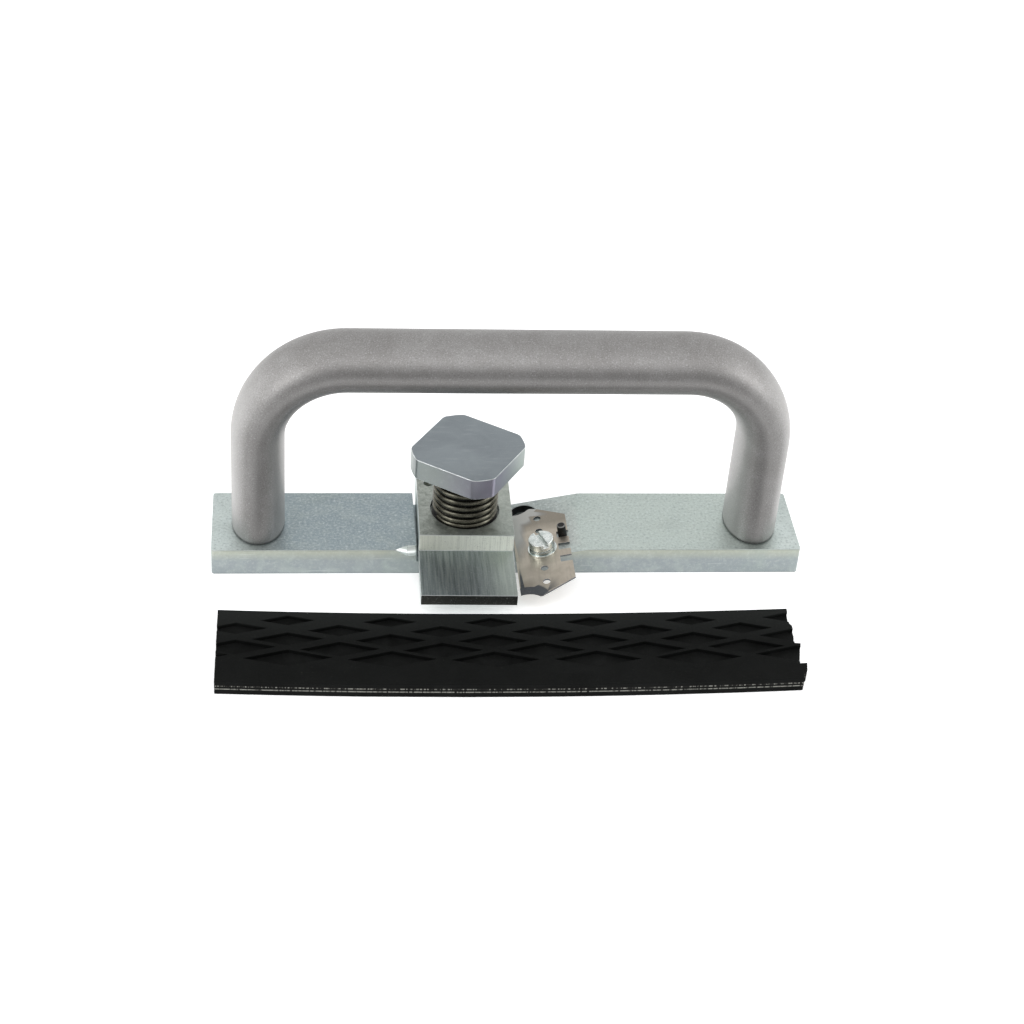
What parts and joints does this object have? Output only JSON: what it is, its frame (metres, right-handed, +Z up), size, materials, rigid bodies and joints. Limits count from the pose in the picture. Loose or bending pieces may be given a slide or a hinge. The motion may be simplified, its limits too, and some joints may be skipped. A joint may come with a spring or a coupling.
{
  "type": "hand-held rubber strip cutter",
  "caption": "Hand cutter for rubber strip: flat steel bar, oval bow handle, hook blade on a sloping seat, sprung guide block with a knob, and a diamond-pattern rubber strip.",
  "frame": {"origin": "centre of the flat underside of the bar", "axes": "+X along the bar and the grip, -Y towards the cutting side and the rubber strip, +Z up through the handle"},
  "size_m": [0.2, 0.1006, 0.0841],
  "materials": {
    "zinc_steel": "bright zinc plate, satin",
    "block_steel": "zinc plated, ground faces",
    "knob_steel": "zinc plated, smooth",
    "handle_aluminium": "tumbled, satin",
    "dark_steel": "blackened",
    "spring_steel": "oiled spring wire",
    "bright_steel": "bright zinc",
    "blade_steel": "satin, ground edges",
    "black_oxide": "black oxide",
    "rubber": "matt black rubber",
    "ply_fabric": "rubberised fabric ply"
  },
  "bodies": {
    "frame": {"base_bar": "zinc_steel", "bow_handle": "handle_aluminium", "handle_screws": "dark_steel", "guide_bolt": "dark_steel", "guide_bolt_nut": "zinc_steel", "compression_spring": "spring_steel", "hook_blade": "blade_steel", "blade_washer": "bright_steel", "blade_lock_washer": "bright_steel", "blade_screw": "bright_steel", "blade_peg": "black_oxide", "strip_bottom_cover": "rubber", "strip_lower_ply": "ply_fabric", "strip_skim": "rubber", "strip_upper_ply": "ply_fabric", "strip_top_cover": "rubber"},
    "block": {"guide_block": "block_steel", "lower_spring_washer": "dark_steel"},
    "knob_washer": {"upper_spring_washer": "dark_steel"},
    "knob": {"knob_plate": "knob_steel", "knob_sleeve": "dark_steel"}
  },
  "joints": [
    {"name": "block_lift", "type": "slide", "parent": "frame", "child": "block", "axis": [0, 0, 1], "range_m": [0, 0.003], "stiffness_N_per_m": 1750, "springref_m": -0.01, "deforming": ["compression_spring"]},
    {"name": "knob_advance", "type": "slide", "parent": "frame", "child": "knob_washer", "axis": [0, 0, -1], "range_m": [0, 0.0025], "deforming": ["compression_spring"]},
    {"name": "knob_turn", "type": "hinge", "parent": "knob_washer", "child": "knob", "pos_m": [-0.0146, 0, 0.0372], "axis": [0, 0, -1], "range_deg": [0, 720]}
  ],
  "couplings": [
    {"joint": "knob_advance", "follows": "knob_turn", "m_per_rad": 0.00019894}
  ]
}
